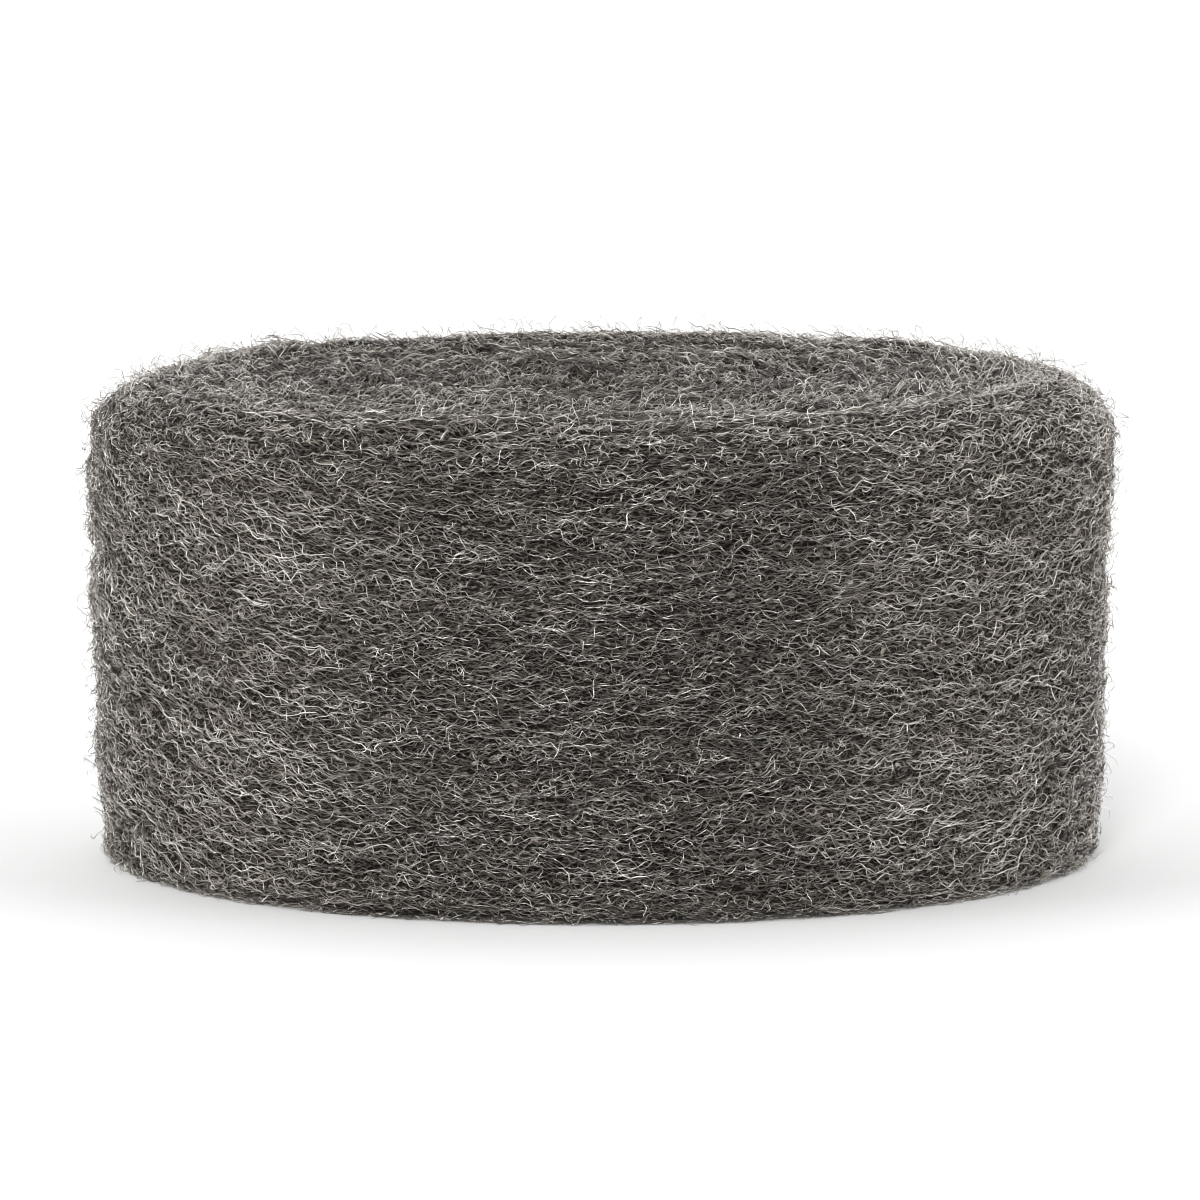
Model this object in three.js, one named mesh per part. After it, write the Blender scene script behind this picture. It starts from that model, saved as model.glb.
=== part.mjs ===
// Steel wool roll: one ribbon of matted steel fibre wound on itself, with no core, standing on its end.
// Millimetres, +Z up along the winding axis, origin at the centre of the base. The wound turns are one solid.
import * as THREE from "three";

// Driving dimensions
const HEIGHT = 102; // the ribbon's width
const TOP_RADIUS = 108; // where the side meets the top shoulder
const BASE_RADIUS = 106.2; // the side draws in a little towards the base
const SHOULDER_WIDTH = 20; // the shoulder is a quarter of an ellipse: this far in from the side
const SHOULDER_DROP = 12; // and this far down from the top
const BASE_ROUNDING = 3;
const WINDING_PITCH = 10; // how far the ribbon's edge moves out in one turn
const WINDING_TURNS = 8; // turns whose edges show on the flat of the top
const GROOVE_DEPTH = 2; // the seam between two turns, on the top
const TAIL_LIFT = 2; // how far the ribbon's loose end stands proud of the side
const TAIL_AZIMUTH = THREE.MathUtils.degToRad(135); // where the loose end lies, from +X towards +Y
const TAIL_COLUMNS = 6; // the loose end swells up over this many columns, then drops in one

// Mesh fineness
const COLUMNS = 72; // steps round the roll
const SHOULDER_STEPS = 6;
const BASE_ARC_STEPS = 3;
const SIDE_STEPS = 5;

const FLAT_RADIUS = TOP_RADIUS - SHOULDER_WIDTH;
const SEAM_MARGIN = 1; // the outermost seam ends this far inside the flat's edge
const WINDING_START = FLAT_RADIUS - SEAM_MARGIN - (WINDING_TURNS + 0.5) * WINDING_PITCH;

/** Collects shared vertices and outward-facing triangles. */
class Skin {
  positions = [];
  triangles = [];

  /** Adds the point at a radius and height on a column, and returns its index. */
  point(radius, z, column) {
    const azimuth = TAIL_AZIMUTH + (2 * Math.PI * column) / COLUMNS;
    this.positions.push(radius * Math.cos(azimuth), radius * Math.sin(azimuth), z);
    return this.positions.length / 3 - 1;
  }

  /** A fan of triangles from the first corner of an outline that runs anticlockwise from outside. */
  face(...corners) {
    for (let i = 2; i < corners.length; i++) {
      this.triangles.push(corners[0], corners[i - 1], corners[i]);
    }
  }

  geometry() {
    const geometry = new THREE.BufferGeometry();
    geometry.setAttribute("position", new THREE.Float32BufferAttribute(this.positions, 3));
    geometry.setIndex(this.triangles);
    geometry.computeVertexNormals();
    return geometry;
  }
}

/** The half section from the edge of the base's flat up to the edge of the top's, as [radius, z] pairs. */
function sideProfile() {
  const points = [];
  for (let i = 0; i <= BASE_ARC_STEPS; i++) {
    const turn = (Math.PI / 2) * (i / BASE_ARC_STEPS);
    points.push([
      BASE_RADIUS - BASE_ROUNDING * (1 - Math.sin(turn)),
      BASE_ROUNDING * (1 - Math.cos(turn)),
    ]);
  }
  const sideTop = HEIGHT - SHOULDER_DROP;
  for (let i = 1; i < SIDE_STEPS; i++) {
    const up = i / SIDE_STEPS;
    points.push([
      THREE.MathUtils.lerp(BASE_RADIUS, TOP_RADIUS, THREE.MathUtils.smoothstep(up, 0, 1)),
      THREE.MathUtils.lerp(BASE_ROUNDING, sideTop, up),
    ]);
  }
  for (let i = 0; i <= SHOULDER_STEPS; i++) {
    const turn = (Math.PI / 2) * (i / SHOULDER_STEPS);
    points.push([
      TOP_RADIUS - SHOULDER_WIDTH * (1 - Math.cos(turn)),
      sideTop + SHOULDER_DROP * Math.sin(turn),
    ]);
  }
  return points;
}

/** How far the loose end stands out of the side, on a column and at a height. Column 0 is just past the end. */
function tailLift(column, z) {
  const alongTail = THREE.MathUtils.smoothstep(column, COLUMNS - TAIL_COLUMNS, COLUMNS - 1);
  const upSide = THREE.MathUtils.smoothstep(z, 0, BASE_ROUNDING * 2);
  const belowShoulder = 1 - THREE.MathUtils.smoothstep(z, HEIGHT - SHOULDER_DROP, HEIGHT);
  return TAIL_LIFT * alongTail * upSide * belowShoulder;
}

/** Adds the side, and returns its rings of vertices from the base up. */
function addSide(skin) {
  const rings = sideProfile().map(([radius, z]) =>
    Array.from({ length: COLUMNS }, (_, column) => skin.point(radius + tailLift(column, z), z, column)),
  );
  for (let row = 1; row < rings.length; row++) {
    const [low, high] = [rings[row - 1], rings[row]];
    for (let column = 0; column < COLUMNS; column++) {
      const next = (column + 1) % COLUMNS;
      skin.face(low[column], low[next], high[next], high[column]);
    }
  }
  return rings;
}

/** Closes the base with one flat disc. */
function addBase(skin, rim) {
  const centre = skin.point(0, 0, 0);
  for (let column = 0; column < COLUMNS; column++) {
    skin.face(centre, rim[(column + 1) % COLUMNS], rim[column]);
  }
}

/** Closes the top with the wound ribbon's edge: a spiral crest with a seam outside it, from the centre out. */
function addWoundTop(skin, rim) {
  const steps = WINDING_TURNS * COLUMNS;
  const crest = [];
  const seam = [];
  for (let step = 0; step <= steps; step++) {
    const radius = WINDING_START + WINDING_PITCH * (step / COLUMNS);
    const fade = Math.min(1, (2 * step) / COLUMNS, (steps - step) / COLUMNS);
    crest.push(skin.point(radius, HEIGHT, step));
    seam.push(skin.point(radius + WINDING_PITCH / 2, HEIGHT - GROOVE_DEPTH * fade, step));
  }
  for (let step = 0; step < steps; step++) {
    skin.face(crest[step], seam[step], seam[step + 1], crest[step + 1]);
    const outer = step + COLUMNS;
    if (outer < steps) {
      skin.face(seam[step], crest[outer], crest[outer + 1], seam[step + 1]);
    }
  }

  // The first turn closes on the centre.
  const centre = skin.point(0, HEIGHT, 0);
  for (let step = 0; step < COLUMNS; step++) {
    skin.face(centre, crest[step], crest[step + 1]);
  }
  skin.face(centre, crest[COLUMNS], seam[0], crest[0]);

  // The last seam closes on the rim, and its end on the three points that lie outside its start.
  const lastTurn = steps - COLUMNS;
  for (let column = 1; column < COLUMNS; column++) {
    const step = lastTurn + column;
    skin.face(seam[step], rim[column], rim[(column + 1) % COLUMNS], seam[step + 1]);
  }
  skin.face(seam[lastTurn + 1], seam[lastTurn], crest[steps], seam[steps], rim[0], rim[1]);
}

function woolRoll() {
  const skin = new Skin();
  const rings = addSide(skin);
  addBase(skin, rings[0]);
  addWoundTop(skin, rings[rings.length - 1]);
  const steelWool = new THREE.MeshStandardMaterial({ color: 0x5a5652, roughness: 0.6, metalness: 0.8 });
  const mesh = new THREE.Mesh(skin.geometry(), steelWool);
  mesh.name = "steel_wool_roll";
  return mesh;
}

const roll = new THREE.Group();
roll.add(woolRoll());

export default roll;
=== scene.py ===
"""The looks of the steel wool roll: a lumpy wound core under a mat of separately modelled steel fibres.

Shapes are worked out in millimetres and radians, and become metres when a mesh is made. A place on the
roll is given by its azimuth, from +X towards +Y, and by t, the distance along the half section from the
base's centre: out to the side, up it, and in to the top's centre. The fibres and the ribbon run round the
roll, which is along the azimuth.
"""

import math

import bpy
import numpy as np
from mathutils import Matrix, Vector


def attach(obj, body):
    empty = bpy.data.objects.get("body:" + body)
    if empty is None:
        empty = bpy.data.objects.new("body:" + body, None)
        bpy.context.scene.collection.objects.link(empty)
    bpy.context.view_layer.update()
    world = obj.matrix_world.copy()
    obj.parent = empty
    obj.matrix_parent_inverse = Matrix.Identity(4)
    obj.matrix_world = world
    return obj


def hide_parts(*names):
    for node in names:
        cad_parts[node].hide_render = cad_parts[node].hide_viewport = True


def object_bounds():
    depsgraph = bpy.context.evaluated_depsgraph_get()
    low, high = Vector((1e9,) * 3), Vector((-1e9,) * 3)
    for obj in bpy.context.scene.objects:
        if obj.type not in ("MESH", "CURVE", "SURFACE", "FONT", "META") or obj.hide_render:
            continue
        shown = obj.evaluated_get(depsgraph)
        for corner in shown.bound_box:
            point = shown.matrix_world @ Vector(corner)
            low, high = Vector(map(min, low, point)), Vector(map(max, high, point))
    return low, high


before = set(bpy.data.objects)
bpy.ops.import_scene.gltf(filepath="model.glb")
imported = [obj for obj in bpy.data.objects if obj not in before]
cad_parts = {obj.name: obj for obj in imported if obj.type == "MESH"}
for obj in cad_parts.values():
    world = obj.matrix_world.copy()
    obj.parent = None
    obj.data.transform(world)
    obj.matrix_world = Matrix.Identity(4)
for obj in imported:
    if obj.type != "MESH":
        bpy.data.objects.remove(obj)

CAD_LOW, CAD_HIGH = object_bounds()
MM = 0.001
SEED = 20

# The roll's form, which repeats the CAD part's
HEIGHT = (CAD_HIGH.z - CAD_LOW.z) / MM
TOP_RADIUS = (CAD_HIGH.x - CAD_LOW.x) / 2 / MM
BASE_RADIUS = TOP_RADIUS - 1.8
SHOULDER_WIDTH = 20.0
SHOULDER_DROP = 12.0
BASE_ROUNDING = 3.0
WINDING_PITCH = 10.0
TAIL_AZIMUTH = math.radians(135)
TAIL_LENGTH = math.radians(30)
TAIL_LIFT = 2.0

# Where the wound ribbon departs from that form
COARSE_LUMPS = 0.3
FINE_LUMPS = 0.15
TOP_COARSE_LUMPS = 0.3  # how much higher the coarse lumps are on the top than on the side
TOP_FINE_LUMPS = 0.2  # and the fine ones
CREASE_DEPTH = 0.7
SEAM_DEPTH = 1.1
SEAM_SWAY = 0.8
HOLLOW_DEPTH = 1.0
HOLLOW_RADIUS = 22.0  # the dip at the winding's centre
SHOULDER_SAG = 0.7  # how far the shoulder lies low on the left
SHOULDER_SWELL = 1.0  # how much higher the shoulder stands on the right than on the left
FOOT_TUCK = 1.4  # how far the side draws in just over the floor
FOOT_HEIGHT = 9.0
FOLD_START = math.radians(230)
FOLD_END = math.radians(263)
FOLD_CLIMB = 15.0  # how far up the shoulder the fold climbs from its start to its end

# The way the fibres run
FLOW_SWAY = 0.07
LEAN = 0.2  # the fibres on the front left slope down to the right by this angle
LEAN_AZIMUTH = math.radians(210)
LEAN_WIDTH = math.radians(35)

# The mat of fibres
CORE_DEPTH = 1.3  # the core's surface lies this far inside the mat's
CORE_CLEARANCE = 0.4  # the core comes no nearer to the floor than this
FIBRE_CLEARANCE = 0.2  # and the middles of the fibres no nearer than this
FIBRE_SIDES = 3
FIBRE_POINTS = 11
FUZZ_POINTS = 6


# ---------------------------------------------------------------- the half section


def half_section():
    """Dense [radius, height] points in five runs: base, its rounding, side, shoulder and top."""
    turn = np.linspace(0, math.pi / 2, 49)[1:]
    up = np.linspace(0, 1, 61)[1:]
    flat_radius = BASE_RADIUS - BASE_ROUNDING
    side_top = HEIGHT - SHOULDER_DROP
    outward = np.linspace(0, flat_radius, 50)
    inward = np.linspace(TOP_RADIUS - SHOULDER_WIDTH, 0, 50)[1:]
    rounding_radius = flat_radius + BASE_ROUNDING * np.sin(turn)
    rounding_height = BASE_ROUNDING * (1 - np.cos(turn))
    side_radius = BASE_RADIUS + (TOP_RADIUS - BASE_RADIUS) * up**2 * (3 - 2 * up)
    side_height = BASE_ROUNDING + (side_top - BASE_ROUNDING) * up
    shoulder_radius = TOP_RADIUS - SHOULDER_WIDTH * (1 - np.cos(turn))
    shoulder_height = side_top + SHOULDER_DROP * np.sin(turn)
    return [
        np.stack([outward, np.zeros(len(outward))], 1),
        np.stack([rounding_radius, rounding_height], 1),
        np.stack([side_radius, side_height], 1),
        np.stack([shoulder_radius, shoulder_height], 1),
        np.stack([inward, np.full(len(inward), HEIGHT)], 1),
    ]


RUNS = half_section()
RUN_ENDS = np.cumsum([len(run) for run in RUNS]) - 1
SECTION = np.concatenate(RUNS)
SECTION_T = np.concatenate([[0], np.cumsum(np.linalg.norm(np.diff(SECTION, axis=0), axis=1))])
SECTION_SLOPE = np.gradient(SECTION, SECTION_T, axis=0)
T_BASE_EDGE, T_SIDE_LOW, T_SIDE_HIGH, T_TOP_EDGE, T_END = SECTION_T[RUN_ENDS]


def radius_at(t):
    return np.interp(t, SECTION_T, SECTION[:, 0])


def section_at(t):
    """Radius, height, and the outward normal's radial and upward parts, at t."""
    height = np.interp(t, SECTION_T, SECTION[:, 1])
    along_r = np.interp(t, SECTION_T, SECTION_SLOPE[:, 0])
    along_z = np.interp(t, SECTION_T, SECTION_SLOPE[:, 1])
    length = np.hypot(along_r, along_z)
    return radius_at(t), height, along_z / length, -along_r / length


def smoothstep(low, high, x):
    u = np.clip((x - low) / (high - low), 0, 1)
    return u * u * (3 - 2 * u)


def bump(distance, width):
    """1 at no distance, falling smoothly to nearly 0 at twice the width."""
    return np.exp(-((distance / width) ** 2))


def on_base(t):
    """1 on the base, falling to 0 over its rounding."""
    return 1 - smoothstep(T_BASE_EDGE, T_SIDE_LOW, t)


# ---------------------------------------------------------------- the relief of the wound ribbon


class Field:
    """A smooth random field over the roll, about -2 to 2, made of plane waves, with no seam in azimuth."""

    def __init__(self, rng, round_mm, across_mm, waves=40):
        self.waves = rng.normal(0, 2 * math.pi / np.array([round_mm, round_mm, across_mm]), (waves, 3))
        self.phases = rng.uniform(0, 2 * math.pi, waves)

    def __call__(self, azimuth, t):
        place = np.stack([TOP_RADIUS * np.cos(azimuth), TOP_RADIUS * np.sin(azimuth), t], -1)
        return np.cos(place @ self.waves.T + self.phases).sum(-1) * math.sqrt(2 / len(self.phases))


rng = np.random.default_rng(SEED)
STRANDS = Field(rng, 90, 16)
FINE_STRANDS = Field(rng, 36, 6)
CREASES = Field(rng, 170, 12)
CREASE_MASK = Field(rng, 50, 14)
FLOW = Field(rng, 70, 30)
SEAM_WANDER = Field(rng, 60, 60)
STREAKS = Field(rng, 80, 12)


def flow(azimuth, t):
    """Which way the fibres run: the angle up from the way round the roll."""
    leaning = bump(np.mod(azimuth, 2 * math.pi) - LEAN_AZIMUTH, LEAN_WIDTH)
    return FLOW_SWAY * FLOW(azimuth, t) - LEAN * leaning


def seam_distance(azimuth, t):
    """How far a place on the top or the base is from the nearest seam between two turns."""
    radius = radius_at(t) + SEAM_SWAY * SEAM_WANDER(azimuth, t)
    turns = radius / WINDING_PITCH - (azimuth - TAIL_AZIMUTH) / (2 * math.pi)
    return np.abs(turns - np.round(turns)) * WINDING_PITCH


def fold(azimuth, t):
    """The crest of an outer turn that climbs over the front left shoulder, and the groove under it."""
    along = (np.mod(azimuth, 2 * math.pi) - FOLD_START) / (FOLD_END - FOLD_START)
    crest_t = T_SIDE_HIGH + 8 + FOLD_CLIMB * along
    shown = smoothstep(-0.15, 0.2, along) * (1 - smoothstep(0.9, 1.3, along))
    return shown * (0.9 * bump(t - crest_t, 2.4) - 1.8 * bump(t - crest_t + 4.5, 1.5))


def tail(azimuth, t):
    """How far the ribbon's loose end stands out. It has a ragged edge, and sinks away along the ribbon."""
    past = np.mod(azimuth - TAIL_AZIMUTH, 2 * math.pi)
    ragged = 0.02 + 0.01 * FINE_STRANDS(azimuth, t)
    lift = (1 - past / TAIL_LENGTH) ** 2 * smoothstep(0, ragged, past)
    return np.where(past < TAIL_LENGTH, lift, 0) * TAIL_LIFT


def grooves(azimuth, t):
    """How deep the seams, creases and hollow are."""
    on_top = smoothstep(T_TOP_EDGE + 2, T_TOP_EDGE + 14, t)
    radius = radius_at(t)
    crease = bump(CREASES(azimuth, t), 0.3) * smoothstep(0.0, 1.0, CREASE_MASK(azimuth, t))
    seam = bump(seam_distance(azimuth, t), 1.3)
    return (
        CREASE_DEPTH * crease * smoothstep(4, 30, radius) * (1 - on_base(t))
        + SEAM_DEPTH * seam * (on_top + 0.4 * on_base(t))
        + HOLLOW_DEPTH * (1 - smoothstep(4, HOLLOW_RADIUS, radius)) * on_top
    )


def foot_tuck(t):
    """How far the side draws in just over the floor."""
    return FOOT_TUCK * (1 - on_base(t)) * bump(t - T_SIDE_LOW - 2, FOOT_HEIGHT)


def shoulder_shift(azimuth, t):
    """How far the shoulder stands up: it lies low on the left, and rises towards the right."""
    rise = smoothstep(T_SIDE_HIGH - 8, T_SIDE_HIGH + 4, t)
    fall = smoothstep(T_TOP_EDGE - 8, T_TOP_EDGE + 60, t)
    return rise * (1 - fall) * (SHOULDER_SWELL * (0.5 + 0.5 * np.cos(azimuth)) - SHOULDER_SAG)


def relief(azimuth, t):
    """How far the mat's surface stands out of the half section's."""
    below_top = 1 - smoothstep(T_TOP_EDGE - 4, T_TOP_EDGE + 6, t)
    coarse = COARSE_LUMPS + TOP_COARSE_LUMPS * (1 - below_top)
    fine = FINE_LUMPS + TOP_FINE_LUMPS * (1 - below_top)
    lumps = coarse * STRANDS(azimuth, t) + fine * FINE_STRANDS(azimuth, t)
    return (
        lumps * (1 - on_base(t))
        - grooves(azimuth, t)
        + shoulder_shift(azimuth, t)
        - foot_tuck(t)
        + fold(azimuth, t)
        + tail(azimuth, t) * (1 - on_base(t)) * below_top
    )


def places(azimuth, t, lift=0.0):
    """Points over the mat's surface, and the half section's outward normals there."""
    radius, height, out, up = section_at(t)
    stand = relief(azimuth, t) + lift
    radius = radius + out * stand
    points = np.stack([radius * np.cos(azimuth), radius * np.sin(azimuth), height + up * stand], -1)
    normals = np.stack([out * np.cos(azimuth), out * np.sin(azimuth), up], -1)
    return points, normals


# ---------------------------------------------------------------- meshes


def mesh_object(name, points, quads, triangles, material):
    """A mesh object from points in millimetres, faces of four corners and faces of three."""
    mesh = bpy.data.meshes.new(name)
    mesh.vertices.add(len(points))
    mesh.vertices.foreach_set("co", (points * MM).astype(np.float32).ravel())
    corners = np.concatenate([quads.ravel(), triangles.ravel()])
    sizes = np.repeat([4, 3], [len(quads), len(triangles)])
    mesh.loops.add(len(corners))
    mesh.loops.foreach_set("vertex_index", corners.astype(np.int32))
    mesh.polygons.add(len(sizes))
    mesh.polygons.foreach_set("loop_start", (np.cumsum(sizes) - sizes).astype(np.int32))
    mesh.polygons.foreach_set("loop_total", sizes.astype(np.int32))
    mesh.update(calc_edges=True)
    mesh.shade_smooth()
    mesh.materials.append(material)
    piece = bpy.data.objects.new(name, mesh)
    bpy.context.collection.objects.link(piece)
    return piece


def add_attribute(mesh, name, kind, key, values):
    attribute = mesh.attributes.new(name, kind, "POINT")
    attribute.data.foreach_set(key, values.astype(np.float32).ravel())


CORE_COLUMNS = 240
CORE_ROW_MM = 2.5
CORE_BASE_ROW_MM = 5.0


def make_core(material):
    """The wound ribbon under the loose fibres, as one closed surface."""
    base_rows = np.arange(CORE_BASE_ROW_MM, T_BASE_EDGE - CORE_BASE_ROW_MM / 2, CORE_BASE_ROW_MM)
    rows = np.concatenate([base_rows, np.arange(T_BASE_EDGE - 2, T_END - 2, CORE_ROW_MM)])
    azimuths = np.arange(CORE_COLUMNS) / CORE_COLUMNS * 2 * math.pi
    t, azimuth = np.meshgrid(rows, azimuths, indexing="ij")
    points, _ = places(azimuth, t, -CORE_DEPTH)
    points[..., 2] = np.maximum(points[..., 2], CORE_CLEARANCE)
    centres, _ = places(np.zeros(2), np.array([0, T_END]), -CORE_DEPTH)
    centres[0, 2] = CORE_CLEARANCE

    corner = np.arange(points.shape[0] * CORE_COLUMNS).reshape(-1, CORE_COLUMNS)
    after = np.roll(corner, -1, axis=1)
    quads = np.stack([corner[:-1], after[:-1], after[1:], corner[1:]], -1).reshape(-1, 4)
    base_centre = np.full(CORE_COLUMNS, corner.size)
    top_centre = base_centre + 1
    base_fan = np.stack([base_centre, after[0], corner[0]], 1)
    top_fan = np.stack([top_centre, corner[-1], after[-1]], 1)
    vertices = np.concatenate([points.reshape(-1, 3), centres])
    core = mesh_object("wool_core", vertices, quads, np.concatenate([base_fan, top_fan]), material)

    winding = np.stack([TOP_RADIUS * np.cos(azimuth), TOP_RADIUS * np.sin(azimuth), t], -1)
    winding = np.concatenate([winding.reshape(-1, 3), [[0, 0, 0], [0, 0, T_END]]])
    add_attribute(core.data, "winding", "FLOAT_VECTOR", "vector", winding)
    return core


# The steps of the plastic number's sequence, which spreads points evenly
AZIMUTH_STEP = 0.7548776662
T_STEP = 0.5698402910


def even_starts(count, t_low, t_high):
    """Azimuths and ts spread evenly over the surface between two ts."""
    ts = np.linspace(t_low, t_high, 400)
    radii = radius_at(ts)
    share = np.cumsum(radii) / radii.sum()
    order = np.arange(count)
    t = np.interp(np.mod(0.5 + order * T_STEP, 1), share, ts)
    return np.mod(order * AZIMUTH_STEP, 1) * 2 * math.pi, t


def walk(rng, azimuth, t, step, length, lean, wave):
    """Walks wavy fibres over the surface from their starts, and returns each one's azimuths and ts."""
    count = len(azimuth)
    path = []
    phase = rng.uniform(0, 2 * math.pi, count)
    pace = 2 * math.pi / rng.uniform(4.5, 10.0, count)
    for i in range(length):
        path.append((azimuth, t))
        radius = np.maximum(radius_at(t), 8)
        lean = 0.93 * lean + rng.normal(0, 0.08, count)
        swing = wave * np.cos(phase + pace * step * i)
        heading = flow(azimuth, t) + lean + swing + rng.normal(0, 0.12, count)
        azimuth = azimuth + np.cos(heading) * step / radius
        t = np.clip(t + np.sin(heading) * step, 1, T_END - 3)
    return [np.stack(x, 1) for x in zip(*path)]


def add_bake_map(mesh, count, length):
    """Gives each fibre its own cell of a square map, along the fibre one way and round it the other."""
    ring, side = np.meshgrid(np.arange(1, length - 2), np.arange(FIBRE_SIDES), indexing="ij")
    ring, side = ring.ravel(), side.ravel()
    ring_corners = np.stack([ring, ring + 1, ring + 1, ring], 1)
    side_corners = np.stack([side, side, side + 1, side + 1], 1)
    body = np.stack([ring_corners, side_corners], -1)
    side = np.arange(FIBRE_SIDES)
    tip_corners = np.tile([0, 1, 1], (FIBRE_SIDES, 1))
    first = np.stack([tip_corners, np.stack([side + 0.5, side, side + 1], 1)], -1)
    last = np.stack([length - 1 - tip_corners, np.stack([side + 0.5, side + 1, side], 1)], -1)

    cells = math.ceil(math.sqrt(count))
    number = np.arange(count)
    cell = np.stack([number % cells, number // cells], -1)[:, None, :]
    spans = np.array([length - 1, FIBRE_SIDES])
    loops = []
    for local in (body.reshape(-1, 2), np.concatenate([first, last]).reshape(-1, 2)):
        loops.append(((cell + 0.1 + 0.8 * local / spans) / cells).reshape(-1, 2))
    layer = mesh.uv_layers.new(name="OFBake")
    layer.data.foreach_set("uv", np.concatenate(loops).astype(np.float32).ravel())


def fibre_vertices(rng, points, normals, width):
    """Rings of corners round each fibre's middle points, and then its two pointed ends."""
    count, length = points.shape[:2]
    along = np.gradient(points, axis=1)
    along /= np.linalg.norm(along, axis=2, keepdims=True)
    aside = np.cross(along, normals)
    aside /= np.maximum(np.linalg.norm(aside, axis=2, keepdims=True), 1e-6)
    out = np.cross(aside, along)
    taper = np.sin(np.linspace(0.12, math.pi - 0.12, length)) ** 0.35
    reach = (width[:, None] / 2 * taper)[..., None]
    turn = rng.uniform(0, 2 * math.pi, (count, 1)) + rng.normal(0, 0.35, (count, 1)) * np.arange(length)
    corners = []
    for side in range(FIBRE_SIDES):
        angle = (turn + 2 * math.pi * side / FIBRE_SIDES)[..., None]
        corners.append(points + reach * (np.cos(angle) * out + np.sin(angle) * aside))
    rings = np.stack(corners, 2)[:, 1:-1]
    return np.concatenate([rings.reshape(count, -1, 3), points[:, :1], points[:, -1:]], 1)


def fibre_mesh(name, rng, points, normals, width, tone, material):
    """Closed three-sided fibres through points, which are an array of fibre, point and coordinate."""
    count, length = points.shape[:2]
    vertices = fibre_vertices(rng, points, normals, width)
    ring = np.arange((length - 2) * FIBRE_SIDES).reshape(-1, FIBRE_SIDES)
    after = np.roll(ring, -1, axis=1)
    sides = np.stack([ring[:-1], ring[1:], after[1:], after[:-1]], -1).reshape(-1, 4)
    first = np.full(FIBRE_SIDES, ring.size)
    last = first + 1
    first_tip = np.stack([first, ring[0], after[0]], 1)
    last_tip = np.stack([last, after[-1], ring[-1]], 1)
    starts = (np.arange(count) * vertices.shape[1])[:, None, None]
    quads = (starts + sides).reshape(-1, 4)
    triangles = (starts + np.concatenate([first_tip, last_tip])).reshape(-1, 3)
    piece = mesh_object(name, vertices.reshape(-1, 3), quads, triangles, material)

    ring_tone = np.repeat(tone[:, 1:-1], FIBRE_SIDES, axis=1)
    vertex_tone = np.concatenate([ring_tone, tone[:, :1], tone[:, -1:]], 1)
    add_attribute(piece.data, "tone", "FLOAT", "value", vertex_tone)
    add_bake_map(piece.data, count, length)
    return piece


def fibre_tone_and_shade(rng, azimuths, ts, lift, on_top, streaked):
    """How bright fibres are, 0 to 1: darker at random and in streaks, and with painted shade where they lie
    deep, in grooves, on the top and at the foot.
    """
    # painted shade: the deeper a fibre lies in the mat, the darker it is painted
    proud = np.clip((lift + 1.2) / 1.3, 0, 1)
    # painted shade in the low places of the relief: the seams, creases, hollow and the fold's groove
    groove_shade = 1 - smoothstep(-2.0, -0.4, relief(azimuths, ts) + foot_tuck(ts))
    streak = 1 - smoothstep(-0.9, 0.9, STREAKS(azimuths, ts))
    own = rng.uniform(0.5, 1.0, (len(ts), 1))
    # painted shade on the top: its fibres are painted darker, and the deeper ones much darker
    tone = (0.25 + 0.75 * proud) * (1 - on_top) + 0.85 * proud**2 * on_top
    tone *= own * (1 - 0.7 * groove_shade) * (1 - streaked * streak)
    # painted shade at the foot: the fibres just over the floor are painted darker
    return tone * (0.7 + 0.3 * smoothstep(T_BASE_EDGE + 2, T_SIDE_LOW + 5, ts))


def lay_fibres(name, rng, count, t_low, t_high, material, curly=0.34, streaked=0.1):
    """A layer of woven fibres: combed ones that run round the roll, and a share of curly ones over them."""
    azimuth, t = even_starts(count, t_low, t_high)
    curls = rng.uniform(0, 1, count) < curly
    wave = np.where(curls, rng.uniform(0.6, 1.2, count), rng.uniform(0.15, 0.6, count))
    lean = np.where(curls, rng.uniform(-0.9, 0.9, count), rng.normal(0, 0.12, count))
    step = rng.uniform(1.3, 1.8, count)
    azimuths, ts = walk(rng, azimuth, t, step, FIBRE_POINTS, lean, wave)

    along = np.linspace(0, 1, FIBRE_POINTS)
    middle = rng.uniform(-0.1, 0.8, (count, 1)) + 0.15 * curls[:, None]
    sway = rng.uniform(0.15, 0.55, (count, 1))
    waves = rng.uniform(2, 5, (count, 1))
    phase = rng.uniform(0, 2 * math.pi, (count, 1))
    lift = middle + sway * np.sin(phase + 2 * math.pi * waves * along)
    lift = lift + rng.normal(0, 0.08, (count, FIBRE_POINTS)) - 0.7
    loose = rng.uniform(0.5, 2.6, (count, 1)) * (rng.uniform(0, 1, (count, 1)) < 0.14)
    lift = np.maximum(lift, -1.15) + loose * along**2
    points, normals = places(azimuths, ts, lift)
    points[..., 2] = np.maximum(points[..., 2], FIBRE_CLEARANCE)

    on_top = smoothstep(T_SIDE_HIGH - 4, T_TOP_EDGE - 18, ts)
    width = rng.uniform(0.17, 0.26, count) * (1 + 0.4 * on_top.mean(1))
    tone = fibre_tone_and_shade(rng, azimuths, ts, lift, on_top, streaked)
    return fibre_mesh(name, rng, points, normals, width, tone, material)


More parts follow.
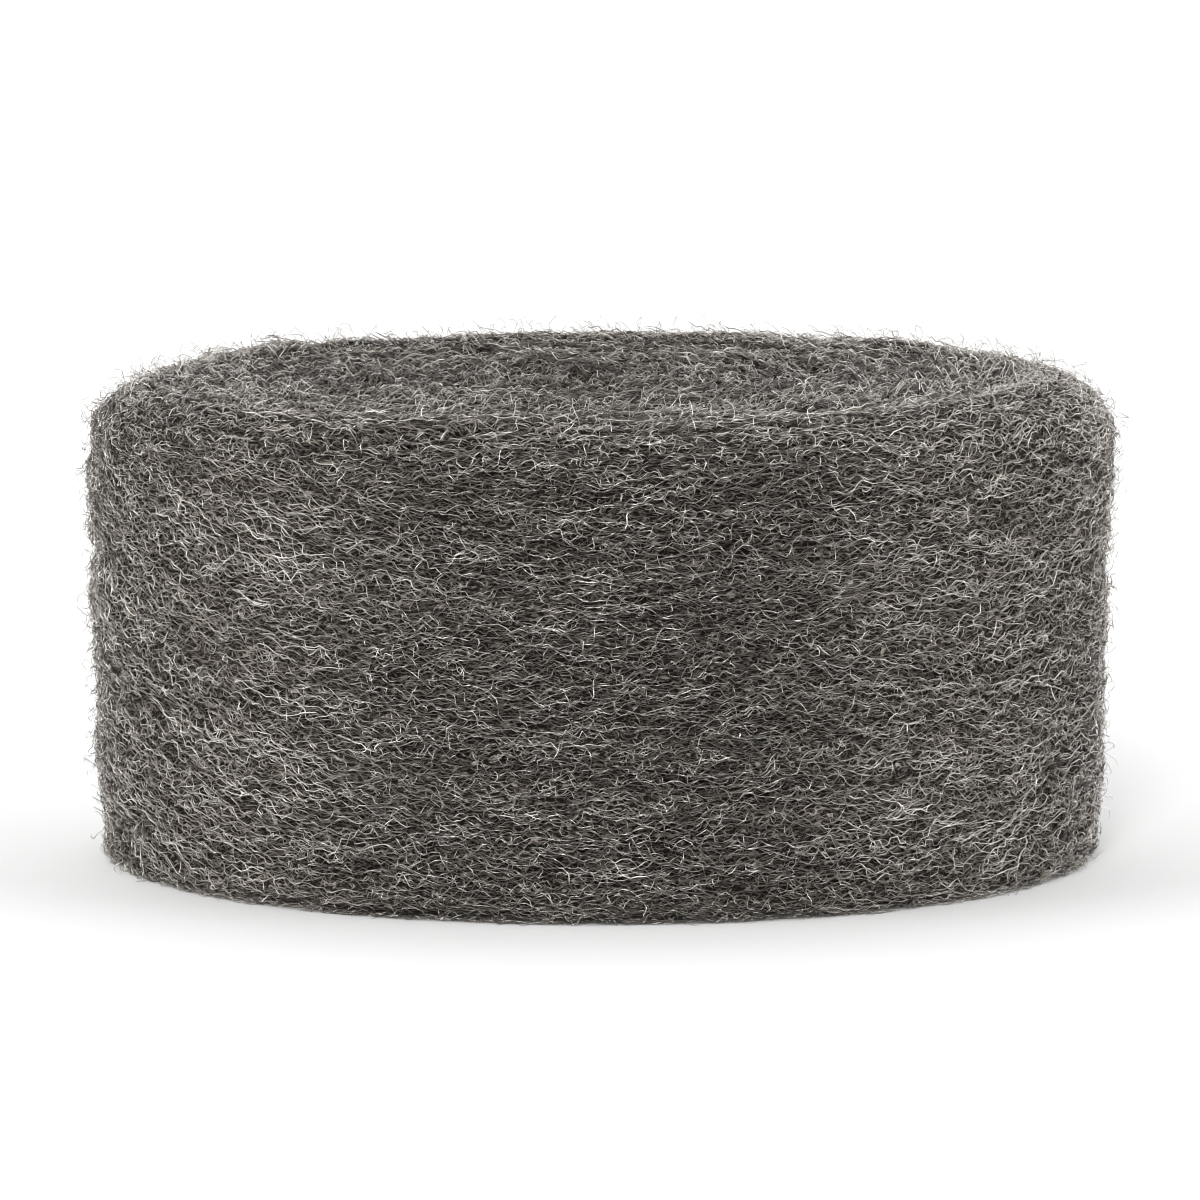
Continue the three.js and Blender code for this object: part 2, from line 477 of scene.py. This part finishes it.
def lay_fuzz(name, rng, count, t_low, t_high, tallest, material, lean_spread=math.pi):
    """Short fine curls that stand out of the mat, few of them near the tallest."""
    azimuth, t = even_starts(count, t_low, t_high)
    lean = rng.uniform(-lean_spread, lean_spread, count)
    step = rng.uniform(0.7, 1.2, count)
    azimuths, ts = walk(rng, azimuth, t, step, FUZZ_POINTS, lean, 1.5)

    along = np.linspace(0, 1, FUZZ_POINTS)
    rise = 0.7 + (tallest - 0.7) * rng.uniform(0, 1, (count, 1)) ** 2
    peak = rng.uniform(0.5, 1.0, (count, 1))
    arch = np.sin(np.clip(along / peak, 0, 1.6) * math.pi / 2)
    lift = -0.4 + rise * arch + rng.normal(0, 0.12, (count, FUZZ_POINTS))
    points, normals = places(azimuths, ts, lift)
    points[..., 2] = np.maximum(points[..., 2], FIBRE_CLEARANCE)

    tone = np.repeat(rng.uniform(0.4, 1.0, (count, 1)), FUZZ_POINTS, 1)
    width = rng.uniform(0.1, 0.18, count)
    return fibre_mesh(name, rng, points, normals, width, tone, material)


# ---------------------------------------------------------------- materials

# The fibres' ramp of tone, from dark to bright steel: the painted shade in their tones shows as the darker
# steel
DEEP_STEEL = (0.03, 0.025, 0.022, 1)
MIDDLE_STEEL = (0.42, 0.384, 0.344, 1)
BRIGHT_STEEL = (1.0, 0.975, 0.925, 1)
# Painted shade: the packed fibre is painted from the first colour in its deepest gaps to the second on its
# highest strands
PACKED_SHADE = (0.016, 0.0135, 0.0115, 1)
PACKED_PALE = (0.36, 0.32, 0.282, 1)


def new_material(name):
    material = bpy.data.materials.new(name)
    material.use_nodes = True
    tree = material.node_tree
    shader = next(n for n in tree.nodes if n.type == "BSDF_PRINCIPLED")
    return material, tree, shader


def fibre_material():
    """Bare steel, as bright as each fibre's tone, which holds painted shade as well as each fibre's own
    brightness.
    """
    material, tree, shader = new_material("steel_fibre")
    tone = tree.nodes.new("ShaderNodeAttribute")
    tone.attribute_name = "tone"
    ramp = tree.nodes.new("ShaderNodeValToRGB")
    ramp.color_ramp.elements[0].color = DEEP_STEEL
    ramp.color_ramp.elements[1].color = BRIGHT_STEEL
    ramp.color_ramp.elements.new(0.5).color = MIDDLE_STEEL
    tree.links.new(tone.outputs["Fac"], ramp.inputs["Fac"])
    tree.links.new(ramp.outputs["Color"], shader.inputs["Base Color"])
    shader.inputs["Metallic"].default_value = 1.0
    shader.inputs["Roughness"].default_value = 0.3
    return material


class Nodes:
    """Short forms for building a node tree. Each call returns an output socket."""

    def __init__(self, tree):
        self.tree = tree

    def make(self, kind, output=0, settings=(), **inputs):
        """A node of a kind. An input goes by its socket's name, or by _ and its number."""
        node = self.tree.nodes.new(kind)
        for name, value in dict(settings).items():
            setattr(node, name, value)
        for name, value in inputs.items():
            socket = node.inputs[int(name[1:]) if name[0] == "_" else name]
            if isinstance(value, bpy.types.NodeSocket):
                self.tree.links.new(value, socket)
            else:
                socket.default_value = value
        return node.outputs[output]

    def maths(self, operation, *values):
        inputs = {f"_{i}": v for i, v in enumerate(values)}
        return self.make("ShaderNodeMath", settings={"operation": operation}, **inputs)

    def ramp(self, value, low, high, to_low=0.0, to_high=1.0):
        settings = {"interpolation_type": "SMOOTHSTEP"}
        limits = {"From Min": low, "From Max": high, "To Min": to_low, "To Max": to_high}
        return self.make("ShaderNodeMapRange", settings=settings, Value=value, **limits)

    def noise(self, place, scale, seed=0.0, output=0):
        shift = (seed * 31.7, seed * 17.3, seed * 23.9)
        moved = self.make("ShaderNodeVectorMath", _0=place, _1=shift)
        settings = {"noise_dimensions": "3D"}
        return self.make("ShaderNodeTexNoise", output, settings, Vector=moved, Scale=scale, Detail=0.0)


def web(n, place, cell, thickness, wobble, seed):
    """A net of wavy lines, 1 on a line and 0 off it, with cells about so many mm across."""
    moved = n.noise(place, 1 / (0.7 * cell), seed, output=1)
    settings = {"operation": "MULTIPLY_ADD"}
    offset = n.make("ShaderNodeVectorMath", settings=settings, _0=moved, _1=(wobble,) * 3, _2=place)
    settings = {"feature": "DISTANCE_TO_EDGE"}
    edge = n.make("ShaderNodeTexVoronoi", "Distance", settings, Vector=offset, Scale=1 / cell)
    return n.ramp(edge, 0.0, thickness / cell, 1.0, 0.0)


def strands(n, place, across, spacing, thickness, sway, length, seed):
    """Wavy lines that run round the roll, broken along their length."""
    slow = n.noise(place, 1 / length, seed)
    quick = n.noise(place, 3 / length, seed + 3)
    moved = n.maths("MULTIPLY_ADD", slow, sway * 4, across)
    moved = n.maths("MULTIPLY_ADD", quick, sway * 1.6, moved)
    row = n.maths("DIVIDE", moved, spacing)
    number = n.maths("FLOOR", row)
    off = n.maths("ABSOLUTE", n.maths("SUBTRACT", n.maths("SUBTRACT", row, number), 0.5))
    line = n.ramp(off, 0.15 * thickness / spacing, 0.6 * thickness / spacing, 1.0, 0.0)
    here = n.maths("SINE", n.maths("MULTIPLY_ADD", slow, 40.0, n.maths("MULTIPLY", number, 2.4)))
    return n.maths("MULTIPLY", line, n.ramp(here, -0.9, 0.0))


# The net drawn on the core: how high it lies from 0 to 1, and its cells, line thickness, wobble and seed
WEB_LEVEL = 0.3
WEB = (2.2, 0.3, 2.0, 11.0)
# The layers of strands over it: how high each lies, and its spacing, sway and wavelength
LAYERS = ((0.4, 0.9, 1.1, 6.0), (0.6, 1.2, 1.4, 8.0), (0.8, 1.6, 1.7, 7.0), (1.0, 2.1, 2.2, 9.0))
STRAND_THICKNESS = 0.32
STRAND_RELIEF = 0.4
FLATTENING = 1.7  # how much closer together the pattern's details are in height than round the roll


def core_material():
    """Packed fibre seen between the modelled ones: a net and strands, with painted shade that makes them
    darker the deeper they lie and nearly black between them.
    """
    material, tree, shader = new_material("packed_wool")
    n = Nodes(tree)
    where = n.make("ShaderNodeTexCoord", "Object")
    to_mm = (1 / MM, 1 / MM, FLATTENING / MM)
    place = n.make("ShaderNodeVectorMath", settings={"operation": "MULTIPLY"}, _0=where, _1=to_mm)
    winding = n.make("ShaderNodeAttribute", "Vector", {"attribute_name": "winding"})
    across = n.make("ShaderNodeSeparateXYZ", 2, Vector=winding)
    height = n.maths("MULTIPLY", web(n, place, *WEB), WEB_LEVEL)
    for level, spacing, sway, length in LAYERS:
        lines = strands(n, place, across, spacing, STRAND_THICKNESS, sway, length, 10 * level)
        height = n.maths("MAXIMUM", height, n.maths("MULTIPLY", lines, level))
    # painted shade: the lower a line lies, the darker it is painted, and the gaps between lines are nearly
    # black
    colours = tree.nodes.new("ShaderNodeValToRGB")
    colours.color_ramp.elements[0].color = PACKED_SHADE
    colours.color_ramp.elements[0].position = 0.12
    colours.color_ramp.elements[1].color = PACKED_PALE
    tree.links.new(height, colours.inputs["Fac"])
    tree.links.new(colours.outputs["Color"], shader.inputs["Base Color"])
    normal = n.make("ShaderNodeBump", Height=height, Distance=STRAND_RELIEF * MM, Strength=1.0)
    tree.links.new(normal, shader.inputs["Normal"])
    shader.inputs["Metallic"].default_value = 0.7
    shader.inputs["Specular IOR Level"].default_value = 0.1
    shader.inputs["Specular Tint"].default_value = (0.2, 0.2, 0.2, 1)
    shader.inputs["Roughness"].default_value = 0.5
    return material


# ---------------------------------------------------------------- the stage

FLOOR_REACH = 40  # metres from the roll to each edge of the floor

# How bright the surroundings are
FRONT_WALL = 0.38
BACK_WALL = 1.75
SIDE_WALLS = 1.6
GROUND = 0.06
CEILING = 0.3

CAMERA_ELEVATION = math.radians(7)
CAMERA_DISTANCE = 20 * TOP_RADIUS
CAMERA_AIM = HEIGHT / 2 + 2.6  # the height that the camera looks at
SENSOR_WIDTH = 36.0
CAMERA_LENS = 306.0


def make_floor():
    """A pale floor that takes shadows, and neither lights the fibres nor is mirrored in them."""
    mesh = bpy.data.meshes.new("floor")
    signs = ((-1, -1), (1, -1), (1, 1), (-1, 1))
    mesh.from_pydata([(x * FLOOR_REACH, y * FLOOR_REACH, 0) for x, y in signs], [], [(0, 1, 2, 3)])
    floor = bpy.data.objects.new("floor", mesh)
    bpy.context.collection.objects.link(floor)
    material, _, shader = new_material("pale_floor")
    shader.inputs["Base Color"].default_value = (0.9, 0.9, 0.9, 1)
    shader.inputs["Roughness"].default_value = 0.9
    mesh.materials.append(material)
    floor.visible_diffuse = False
    floor.visible_glossy = False


def make_world():
    """White walls, brightest behind and at the sides, over a dark ground and under a dim ceiling."""
    world = bpy.data.worlds.new("studio")
    bpy.context.scene.world = world
    world.use_nodes = True
    tree = world.node_tree
    n = Nodes(tree)
    background = next(node for node in tree.nodes if node.type == "BACKGROUND")
    way = n.make("ShaderNodeTexCoord", "Generated")
    across = n.maths("ABSOLUTE", n.make("ShaderNodeSeparateXYZ", "X", Vector=way))
    back = n.make("ShaderNodeSeparateXYZ", "Y", Vector=way)
    up = n.make("ShaderNodeSeparateXYZ", "Z", Vector=way)
    front_to_back = n.ramp(back, -0.6, 0.6, FRONT_WALL, BACK_WALL)
    walls = n.maths("ADD", front_to_back, n.ramp(across, 0.6, 0.95, 0.0, SIDE_WALLS))
    above_ground = n.maths("MULTIPLY", walls, n.ramp(up, -0.25, -0.02, GROUND, 1.0))
    strength = n.maths("MULTIPLY", above_ground, n.ramp(up, 0.2, 0.8, 1.0, CEILING))
    tree.links.new(strength, background.inputs["Strength"])
    background.inputs["Color"].default_value = (1, 1, 1, 1)


def make_sun(name, strength, spread, azimuth, elevation):
    """A soft light. Its angles are in degrees, and its azimuth is from the front towards the right."""
    light = bpy.data.lights.new(name, "SUN")
    light.energy = strength
    light.angle = math.radians(spread)
    lamp = bpy.data.objects.new(name, light)
    lamp.rotation_euler = (math.radians(90 - elevation), 0, math.radians(azimuth))
    bpy.context.collection.objects.link(lamp)


def make_camera():
    """A long lens in front of the roll and a little above it."""
    data = bpy.data.cameras.new("camera")
    data.sensor_width = SENSOR_WIDTH
    data.lens = CAMERA_LENS
    camera = bpy.data.objects.new("camera", data)
    target = Vector((0, 0, CAMERA_AIM)) * MM
    away = Vector((0, -math.cos(CAMERA_ELEVATION), math.sin(CAMERA_ELEVATION)))
    camera.location = target + CAMERA_DISTANCE * MM * away
    camera.rotation_euler = (target - camera.location).to_track_quat("-Z", "Y").to_euler()
    bpy.context.collection.objects.link(camera)
    bpy.context.scene.camera = camera


make_camera()
make_floor()
make_world()
make_sun("left_light", 1.55, 40, -72, 14)
make_sun("right_light", 1.25, 40, 72, 14)
make_sun("front_light", 2.1, 15, -6, 25)
make_sun("top_light", 0.45, 30, 180, 66)
bpy.context.scene.view_settings.view_transform = "Standard"
bpy.context.scene.cycles.filter_width = 1.25

# ---------------------------------------------------------------- the pieces

FOOT = T_BASE_EDGE - 1
INSIDE_RIM = T_TOP_EDGE + 15

core = make_core(core_material())
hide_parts("steel_wool_roll")
steel = fibre_material()
pieces = [core]
for i in range(4):
    pieces.append(lay_fibres(f"side_fibres_{i + 1}", rng, 3200, FOOT, T_TOP_EDGE, steel))
top_fibres = lay_fibres("top_fibres", rng, 1000, T_TOP_EDGE - 6, T_END - 2, steel, curly=0.15, streaked=0.5)
pieces.append(top_fibres)
pieces.append(lay_fibres("base_fibres", rng, 350, 4, T_BASE_EDGE, steel))
pieces.append(lay_fuzz("side_fuzz", rng, 3600, FOOT, T_SIDE_HIGH + 8, 3.4, steel))
pieces.append(lay_fuzz("top_fuzz", rng, 2700, T_SIDE_HIGH + 2, INSIDE_RIM, 4.6, steel, lean_spread=1.2))
pieces.append(lay_fuzz("centre_fuzz", rng, 900, INSIDE_RIM, T_END - 4, 1.3, steel, lean_spread=0.5))
for piece in pieces:
    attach(piece, "root")
